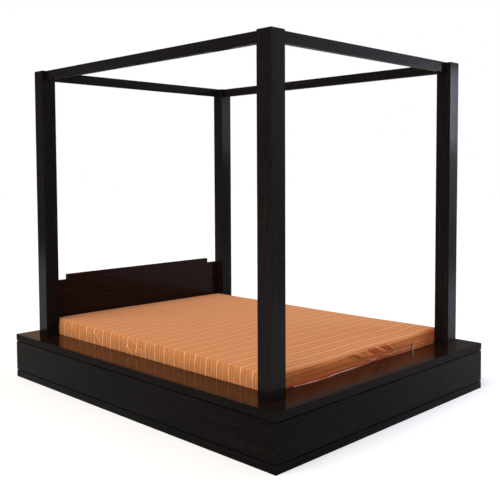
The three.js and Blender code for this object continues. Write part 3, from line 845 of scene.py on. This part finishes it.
for vertex in cover.data.vertices:
    point = vertex.co
    height_share = (point.z - BOTTOM_Z) / (RIM_Z - BOTTOM_Z)
    rows = [between(point.x, TOP_COLUMNS, heights) for heights in TOP_NET]
    lift = between(point.y, TOP_ROWS, rows)
    x_share = point.x / HALF_X
    y_share = (point.y - middle_y) / (length / 2)
    inside = (1 - x_share**2) * (1 - y_share**2)
    if height_share > TOP_SHARE:
        point.z += inside * (CROWN + WAVE * noise.noise(point / WAVE_LENGTH))
    point.z += lift * height_share
print("foot end sunk by", -min(TOP_NET[0]), "m")

# %% [markdown]
# The folds are laid on the foot end and the left side, where the loose cover shows them.
# Each fold is a soft ridge or hollow along a short line. The two faces are divided finer first,
# so that a fold a finger wide has enough points to bend. At the foot the seam's edge has also
# slipped out from under the mattress and lies on the ledge as a thin lip.

# %% Divide the two faces that show folds
LEDGE_Z = 0.290
FOOT_FINE_Z = 0.27  # the foot end is divided finer above this
SIDE_FINE_Z = 0.28  # and the left side above this
LIP_TOP = 0.0023  # heights above the ledge: the lip is full up to here
LIP_BACK = 0.0032  # has mostly drawn back here
LIP_END = 0.008  # and is gone here
LIP_LOOPS = (0.0, 0.0005, LIP_TOP, LIP_BACK, LIP_END)  # where a loop is cut for it


def choose_faces(chosen):
    """Enters edit mode with just the faces selected that a test of centre and normal picks."""
    choose_piece(cover)
    for vertex in cover.data.vertices:
        vertex.select = False
    for edge in cover.data.edges:
        edge.select = False
    for face in cover.data.polygons:
        face.select = chosen(face.center, face.normal)
    bpy.ops.object.mode_set(mode="EDIT")
    bpy.ops.mesh.select_mode(type="FACE")


choose_faces(lambda centre, normal: normal.y < -0.3 and centre.z > FOOT_FINE_Z)
bpy.ops.mesh.subdivide(number_cuts=2)
choose_faces(lambda centre, normal: normal.x < -0.5 and centre.z > SIDE_FINE_Z)
bpy.ops.mesh.subdivide(number_cuts=1)
for height in LIP_LOOPS:
    choose_faces(lambda centre, normal: normal.y < -0.5 and abs(centre.z - LEDGE_Z) < 0.03)
    bpy.ops.mesh.bisect(plane_co=(0, 0, LEDGE_Z + height), plane_no=(0, 0, 1))
bpy.ops.object.mode_set(mode="OBJECT")
print("faces now", len(cover.data.polygons))

# %% Write the folds down
# Each fold: its two ends, along the face and up, its half width and how far it stands out
FOOT_FOLDS = [
    ((-0.10, 0.376), (-0.03, 0.345), 0.009, 0.007),
    ((-0.03, 0.345), (0.10, 0.300), 0.010, 0.006),
    ((-0.17, 0.360), (-0.04, 0.318), 0.016, -0.004),
    ((0.03, 0.372), (0.10, 0.337), 0.010, -0.006),
    ((0.10, 0.337), (0.17, 0.305), 0.012, -0.008),
    ((0.10, 0.376), (0.19, 0.335), 0.008, 0.006),
    ((0.19, 0.335), (0.24, 0.308), 0.009, 0.005),
    ((0.15, 0.374), (0.24, 0.332), 0.008, -0.007),
    ((0.24, 0.332), (0.30, 0.304), 0.009, -0.006),
    ((0.22, 0.374), (0.30, 0.335), 0.008, 0.007),
    ((0.30, 0.335), (0.36, 0.308), 0.008, 0.005),
    ((0.28, 0.355), (0.36, 0.303), 0.008, -0.006),
    ((0.46, 0.353), (0.62, 0.345), 0.016, -0.004),
    ((-0.62, 0.338), (-0.30, 0.333), 0.014, -0.003),
]
SIDE_FOLDS = [
    ((0.58, 0.378), (0.50, 0.300), 0.007, 0.006),
    ((0.62, 0.372), (0.55, 0.300), 0.010, -0.003),
    ((0.47, 0.372), (0.45, 0.320), 0.007, -0.003),
    ((0.26, 0.385), (0.21, 0.330), 0.007, 0.007),
    ((0.21, 0.330), (0.19, 0.298), 0.007, 0.005),
    ((0.17, 0.372), (0.12, 0.345), 0.007, 0.006),
    ((0.13, 0.322), (0.11, 0.302), 0.008, 0.004),
    ((0.12, 0.350), (0.05, 0.335), 0.008, -0.003),
    ((0.22, 0.355), (0.16, 0.305), 0.009, -0.004),
    ((0.72, 0.372), (0.70, 0.305), 0.010, -0.004),
    ((0.83, 0.372), (0.80, 0.305), 0.008, 0.004),
    ((-0.16, 0.378), (-0.19, 0.335), 0.009, -0.003),
    ((-0.52, 0.378), (-0.50, 0.320), 0.009, -0.003),
]
print("folds at the foot", len(FOOT_FOLDS), "and on the left side", len(SIDE_FOLDS))

# %% Shape one fold
def band(value, places):
    """1 between the middle two of four places, with a soft turn to 0 on each side."""
    return smooth(value, *places[:2]) * (1 - smooth(value, *places[2:]))


def fold_height(along_face, z, folds):
    """How far the folds of a face lift the cloth at a point."""
    total = 0.0
    here = Vector((along_face, z))
    for start, end, half_width, rise in folds:
        start, end = Vector(start), Vector(end)
        along = end - start
        share = max(0.0, min(1.0, (here - start).dot(along) / along.length_squared))
        away = (here - start - along * share).length
        if away < 3 * half_width:
            taper = math.sin(math.pi * (0.2 + 0.6 * share))
            total += rise * taper * math.exp(-((away / half_width) ** 2))
    return total


print("fold helpers ready")

# %% Lay the folds
SIDE_BAND = (LEDGE_Z, 0.305, 0.372, 0.388)  # heights where the side's folds fade in and out
PUCKER = 0.0026  # small upright puckers on the left side
PUCKER_LENGTH = 0.016
PUCKER_HEIGHT = 0.08
LOOSE_BAND = (-0.1, 0.15, 0.7, 0.95)  # y where they grow to full and shrink again
TIGHT_SHARE = 0.35  # of a full pucker, elsewhere
ZIP_BAND = (0.311, 0.315, 0.331, 0.336)  # heights where the tape holds the cloth flat
UNDER_ZIP = 0.0016  # the most that a fold stands out there
LIP_PLACES = (-0.64, -0.52, -0.36, -0.24, -0.06, 0.03)
LIP_REACH = (0.0, 0.015, 0.021, 0.009, 0.006, 0.0)
LIP_THINNED = 0.85  # of its reach, behind the lip's top
CHAMFER = 0.010  # how far in the slack foot edge is rolled off
ROLL_LEFT = 0.004  # how far down at its left
ROLL_RIGHT = 0.006  # and at its right
ROLL_HEIGHTS = (0.33, 0.366)
FOOT_FACE = 0.004  # how far in a point still belongs to the foot's face
SIDE_FACE = 0.012  # and to the left side's
EDGE_PUCKER = 0.005  # the left side's top edge, gathered a little along its seam
EDGE_PUCKER_LENGTH = 0.024
EDGE_HEIGHTS = (0.362, 0.380)
RIGHT_BULGE = 0.026  # the cover stands out at the foot end's right corner
BULGE_PLACES = (0.45, 0.95)  # from the middle of the bed towards its foot
BULGE_HEIGHTS = (LEDGE_Z + 0.002, 0.31)
BULGE_DEPTH = 0.06
for vertex in cover.data.vertices:
    point = vertex.co
    from_foot = point.y - FOOT_Y
    if from_foot < CHAMFER:
        roll = ROLL_LEFT * smooth(-point.x, 0.08, 0.42)
        roll += ROLL_RIGHT * smooth(point.x, 0.55, 0.72)
        point.z -= roll * (1 - from_foot / CHAMFER) * smooth(point.z, *ROLL_HEIGHTS)
    if from_foot < FOOT_FACE and point.z > LEDGE_Z - 0.0002:
        height = point.z - LEDGE_Z
        rise = fold_height(point.x, point.z, FOOT_FOLDS) * smooth(height, 0.0, 0.01)
        rise -= max(0.0, rise - UNDER_ZIP) * band(point.z, ZIP_BAND)
        lip = between(point.x, LIP_PLACES, LIP_REACH) * smooth(height, 0.0, 0.0004)
        lip *= 1 - LIP_THINNED * smooth(height, LIP_TOP, LIP_BACK)
        lip *= 1 - smooth(height, LIP_BACK, LIP_END)
        point.y -= rise + lip
    from_left = point.x + HALF_X
    if from_left < SIDE_FACE and point.z > LEDGE_Z:
        loose = TIGHT_SHARE + (1 - TIGHT_SHARE) * band(point.y, LOOSE_BAND)
        pucker = noise.noise((point.y / PUCKER_LENGTH, point.z / PUCKER_HEIGHT, 0.0))
        fold = fold_height(point.y, point.z, SIDE_FOLDS)
        point.x -= band(point.z, SIDE_BAND) * (fold + PUCKER * loose * pucker)
        gathered = noise.noise((point.y / EDGE_PUCKER_LENGTH, 0.0, 7.0))
        point.x -= EDGE_PUCKER * smooth(point.z, *EDGE_HEIGHTS) * gathered
    bulge = RIGHT_BULGE * smooth(-point.y, *BULGE_PLACES) * smooth(point.z, *BULGE_HEIGHTS)
    point.x += bulge * (1 - smooth(HALF_X - point.x, 0.0, BULGE_DEPTH))
print("folds laid", len(FOOT_FOLDS) + len(SIDE_FOLDS))

# %% Note where shade is painted on the foot end's boxing
# The foot end's boxing is drawn a deeper orange than the rest: painted shade of the end that
# faces away from the main lamp. Where it tucks down to the ledge it is painted darker still, as
# shade under the cloth, and it is a little darker at its left end. Two point attributes say
# where, and the finish reads them.
BOXING_DEPTH = (0.009, 0.014)  # how far in from the foot the painted shade fades out
BOXING_TOP = (0.356, 0.362)  # up to this height
BOXING_EDGE = (0.0015, 0.0045)  # and how far in above it
TUCK_HEIGHTS = (LEDGE_Z + 0.003, LEDGE_Z + 0.016)
TUCK_END = (0.2, 0.45)  # x
LEFT_END = (-0.5, -0.25)
LEFT_SHADE = 0.3
boxing = cover.data.attributes.new(name="foot_boxing_shade", type="FLOAT", domain="POINT")
seam_shade = cover.data.attributes.new(name="seam_shade", type="FLOAT", domain="POINT")
for vertex, deeper, shade in zip(cover.data.vertices, boxing.data, seam_shade.data):
    x, from_foot, z = vertex.co.x, vertex.co.y - FOOT_Y, vertex.co.z
    on_foot = (1 - smooth(from_foot, *BOXING_DEPTH)) * (1 - smooth(z, *BOXING_TOP))
    deeper.value = max(on_foot, 1 - smooth(from_foot, *BOXING_EDGE))
    tuck = (1 - smooth(z, *TUCK_HEIGHTS)) * (1 - smooth(x, *TUCK_END))
    left_end = LEFT_SHADE * (1 - smooth(x, *LEFT_END))
    shade.value = on_foot * max(tuck, left_end)
choose_piece(cover)
bpy.ops.object.shade_smooth()
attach(cover, "root")
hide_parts("mattress")
print("cover triangles", sum(len(face.vertices) - 2 for face in cover.data.polygons))

# %% [markdown]
# ## Striped ticking
# The cover is a matt woven cotton blend in burnt orange. Pale stripes cross it every 89 mm, with
# a softer one half way between and a faint one in each quarter. A cotton yarn is half a
# millimetre thick, far too fine for the picture, so the weave is drawn at 2 mm. A little sheen
# stands for the fuzz of the yarn.

# %% Helpers for stripes
STRIPE_PITCH = 0.0888
STRIPE_START = 0.0295  # y of one stripe
STRIPE_WIDTH = 0.005


def stripe_mask(tree, distance, pitch, width, start):
    """1 on a line of this width at each pitch from a start, softly 0 between."""
    shifted = add_node(tree, "ShaderNodeMath", {"operation": "SUBTRACT", 1: start}, {0: distance})
    near = add_node(
        tree, "ShaderNodeMath", {"operation": "PINGPONG", 1: pitch / 2}, {0: shifted.outputs[0]},
    )
    return add_node(
        tree, "ShaderNodeMapRange",
        {"interpolation_type": "SMOOTHSTEP", "From Min": width * 0.75, "From Max": width * 0.25},
        {"Value": near.outputs[0]},
    ).outputs[0]


def over(tree, below, hex_colour, mask, strength):
    """A colour laid over another where a mask says, as strongly as told."""
    share = add_node(tree, "ShaderNodeMath", {"operation": "MULTIPLY", 1: strength}, {0: mask})
    return add_node(
        tree, "ShaderNodeMix", {"data_type": "RGBA", 7: linear(hex_colour)},
        {0: share.outputs[0], 6: below},
    ).outputs[2]


print("a stripe starts at y", STRIPE_START)

# %% Make the ticking
YARN_PITCH = 0.002
SLUB_LENGTH = 0.06  # of the thicker places in a yarn
SLUB_WIDTH = 0.004
FADE_SIZE = 0.16  # metres across one patch of the foot boxing's painted shade, which varies at random
ticking, tree, shader = new_finish("woven_striped_cotton_ticking")
cloth_map = add_node(tree, "ShaderNodeUVMap", {"uv_map": "stripes"})
parts = add_node(tree, "ShaderNodeSeparateXYZ", links={0: cloth_map.outputs[0]})
along_yarn = add_node(
    tree, "ShaderNodeMapping", {"Scale": (1 / SLUB_LENGTH, 1 / SLUB_WIDTH, 1)},
    {"Vector": cloth_map.outputs[0]},
)
slub = add_node(
    tree, "ShaderNodeTexNoise", {"Scale": 1.0, "Detail": 3.0, "Roughness": 0.6},
    {"Vector": along_yarn.outputs[0]},
)
cloth_tone = colour_ramp(tree, slub.outputs["Fac"], [(0.3, "#c7793e"), (0.7, "#d3874a")])
# (pitch, start, width, strength) of the quarter, the half way and the main stripes
for pitch, start, stripe_width, strength in (
    (STRIPE_PITCH / 2, STRIPE_START + STRIPE_PITCH / 4, 0.003, 0.25),
    (STRIPE_PITCH, STRIPE_START + STRIPE_PITCH / 2, 0.004, 0.5),
    (STRIPE_PITCH, STRIPE_START, STRIPE_WIDTH, 1.0),
):
    line = stripe_mask(tree, parts.outputs["Y"], pitch, stripe_width, start)
    cloth_tone = over(tree, cloth_tone, "#f6c8a0", line, strength)
boxing_shade_share = add_node(tree, "ShaderNodeAttribute", {"attribute_name": "foot_boxing_shade"})
fade = add_node(
    tree, "ShaderNodeTexNoise", {"Scale": 1 / FADE_SIZE, "Detail": 1.0},
    {"Vector": cloth_map.outputs[0]},
)
# The foot end's boxing gets patchy painted shade
patchy_foot_shade = colour_ramp(
    tree, fade.outputs["Fac"], [(0.35, "#ffcea4"), (0.5, "#ffd8aa"), (0.65, "#fadea4")],
)
deeper = add_node(
    tree, "ShaderNodeMix", {"data_type": "RGBA", "blend_type": "MULTIPLY"},
    {0: boxing_shade_share.outputs["Fac"], 6: cloth_tone, 7: patchy_foot_shade},
)
# Painted shade where the cover tucks down to the ledge, and a little darker at its left end
tucked_share = add_node(tree, "ShaderNodeAttribute", {"attribute_name": "seam_shade"})
tucked = add_node(
    tree, "ShaderNodeMix", {"data_type": "RGBA", "blend_type": "MULTIPLY", 7: linear("#bf8f78")},
    {0: tucked_share.outputs["Fac"], 6: deeper.outputs[2]},
)
weave = add_node(
    tree, "ShaderNodeTexNoise", {"Scale": 1 / YARN_PITCH, "Detail": 2.0},
    {"Vector": cloth_map.outputs[0]},
)
threads = add_node(
    tree, "ShaderNodeBump", {"Strength": 0.35, "Distance": 0.0006},
    {"Height": weave.outputs["Fac"]},
)
set_up(
    tree, shader,
    {"Roughness": 0.85, "Sheen Weight": 0.08, "Sheen Roughness": 0.5, "Specular IOR Level": 0.3},
    {"Base Color": tucked.outputs[2], "Normal": threads.outputs[0]},
)
set_finish(cover, ticking)
print("stripes every", STRIPE_PITCH * 1000, "mm")

# %% [markdown]
# The cover's lower seam has a thin welt of paler cotton. At the left of the foot end it has
# slipped out onto the ledge, and towards the right it climbs with the twisted cover and catches
# the light. It is a curve laid on the cloth by looking for the surface at each place, given a
# round section and turned to mesh.

# %% Lay the welt
WELT_RADIUS = 0.0016
WELT_PLACES = (0.03, 0.10, 0.16, 0.22, 0.28, 0.33, 0.42, 0.52, 0.62, 0.70, 0.752)
WELT_HEIGHTS = (
    0.2920, 0.3010, 0.3075, 0.3105, 0.3075, 0.3105, 0.3125, 0.3120, 0.3070, 0.3020, 0.2990,
)
WELT_LEFT = -0.60
WELT_RIGHT = 0.752
WELT_STEP = 0.012
WELT_LIFT = 0.0004  # clear of the ledge
WELT_PROUD = 0.6  # of its radius that its middle stands clear of the cloth


def welt_point(x):
    """A point of the welt's middle line, just proud of the cover."""
    z = LEDGE_Z + WELT_RADIUS + WELT_LIFT
    if x > WELT_PLACES[0]:
        z = between(x, WELT_PLACES, WELT_HEIGHTS)
    spot = cover.ray_cast((x, FOOT_Y - 0.1, z), (0, 1, 0))[1]
    return Vector((x, spot.y - WELT_RADIUS * WELT_PROUD, z))


deselect_all()
bpy.ops.curve.primitive_nurbs_path_add(location=(0, 0, 0))
welt = bpy.context.object
welt.name = "seam_welt"
path = welt.data.splines[0]
steps = round((WELT_RIGHT - WELT_LEFT) / WELT_STEP)
path.points.add(steps + 1 - len(path.points))
for number, knot in enumerate(path.points):
    knot.co = (*welt_point(WELT_LEFT + number * WELT_STEP), 1.0)
path.order_u = 4
path.use_endpoint_u = True
path.resolution_u = 2
welt.data.bevel_depth = WELT_RADIUS
welt.data.bevel_resolution = 2
welt.data.use_fill_caps = True
bpy.ops.object.convert(target="MESH")
bpy.ops.object.shade_smooth()
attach(welt, "root")
print("welt faces", len(welt.data.polygons))

# %% Make the welt's cotton
HANDLED_SIZE = 0.13  # metres across one grubby stretch
ZIP_END = (0.44, 0.5)  # x, past which the welt is grubby all along
welt_cotton, tree, shader = new_finish("pale_twisted_cotton_welt")
place = add_node(tree, "ShaderNodeTexCoord")
twist = add_node(
    tree, "ShaderNodeTexNoise", {"Scale": 1 / YARN_PITCH, "Detail": 2.0},
    {"Vector": place.outputs["Object"]},
)
handled = add_node(
    tree, "ShaderNodeTexNoise", {"Scale": 1 / HANDLED_SIZE, "Detail": 1.0},
    {"Vector": place.outputs["Object"]},
)
clean = colour_ramp(tree, twist.outputs["Fac"], [(0.3, "#efcbb0"), (0.7, "#fff0e2")])
grubby = colour_ramp(tree, twist.outputs["Fac"], [(0.3, "#b97c56"), (0.7, "#d9a27c")])
grubbiness = add_node(
    tree, "ShaderNodeMapRange", {"From Min": 0.42, "From Max": 0.58},
    {"Value": handled.outputs["Fac"]},
)
parts = add_node(tree, "ShaderNodeSeparateXYZ", links={0: place.outputs["Object"]})
past_zip = add_node(
    tree, "ShaderNodeMapRange", {"From Min": ZIP_END[0], "From Max": ZIP_END[1]},
    {"Value": parts.outputs["X"]},
)
grubbiness = add_node(
    tree, "ShaderNodeMath", {"operation": "MAXIMUM"},
    {0: grubbiness.outputs[0], 1: past_zip.outputs[0]},
)
welt_tone = add_node(
    tree, "ShaderNodeMix", {"data_type": "RGBA"}, {0: grubbiness.outputs[0], 6: clean, 7: grubby},
)
twist_bump = add_node(
    tree, "ShaderNodeBump", {"Strength": 0.3, "Distance": 0.0004},
    {"Height": twist.outputs["Fac"]},
)
set_up(
    tree, shader, {"Roughness": 0.8, "Specular IOR Level": 0.2},
    {"Base Color": welt_tone.outputs[2], "Normal": twist_bump.outputs[0]},
)
set_finish(welt, welt_cotton)
print("welt yarn", YARN_PITCH * 1000, "mm")

# %% Make the zip tape
TOOTH_PITCH = 0.003
TOOTH_SHARE = 0.7  # of the pitch
TEETH_HALF_HEIGHT = 0.0022
TEETH_FADE = 0.0004
low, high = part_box("zip_tape")
zip_z = (low[2] + high[2]) / 2
tape_cloth, tree, shader = new_finish("woven_polyester_zip_tape")
place = add_node(tree, "ShaderNodeTexCoord")
parts = add_node(tree, "ShaderNodeSeparateXYZ", links={0: place.outputs["Object"]})
level = add_node(
    tree, "ShaderNodeMath", {"operation": "SUBTRACT", 1: zip_z}, {0: parts.outputs["Z"]},
)
off_middle = add_node(tree, "ShaderNodeMath", {"operation": "ABSOLUTE"}, {0: level.outputs[0]})
on_teeth = add_node(
    tree, "ShaderNodeMapRange",
    {"From Min": TEETH_HALF_HEIGHT + TEETH_FADE, "From Max": TEETH_HALF_HEIGHT},
    {"Value": off_middle.outputs[0]},
)
tooth = stripe_mask(tree, parts.outputs["X"], TOOTH_PITCH, TOOTH_PITCH * TOOTH_SHARE, 0.0)
# The gaps between the teeth are drawn darker than the tape: painted shade
tooth_tone = colour_ramp(tree, tooth, [(0.0, "#94491f"), (1.0, "#cc7438")])
yarn = add_node(
    tree, "ShaderNodeTexNoise", {"Scale": 1 / YARN_PITCH, "Detail": 2.0},
    {"Vector": place.outputs["Object"]},
)
tape_tone = colour_ramp(tree, yarn.outputs["Fac"], [(0.3, "#b0642c"), (0.7, "#bf7238")])
tone = add_node(
    tree, "ShaderNodeMix", {"data_type": "RGBA"},
    {0: on_teeth.outputs[0], 6: tape_tone, 7: tooth_tone},
)
ribs = add_node(
    tree, "ShaderNodeMath", {"operation": "MULTIPLY"}, {0: on_teeth.outputs[0], 1: tooth},
)
relief = add_node(
    tree, "ShaderNodeBump", {"Strength": 0.4, "Distance": 0.0006}, {"Height": ribs.outputs[0]},
)
set_up(
    tree, shader, {"Roughness": 0.8, "Specular IOR Level": 0.15},
    {"Base Color": tone.outputs[2], "Normal": relief.outputs[0]},
)
set_finish(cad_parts["zip_tape"], tape_cloth)
print("zip teeth every", TOOTH_PITCH * 1000, "mm")
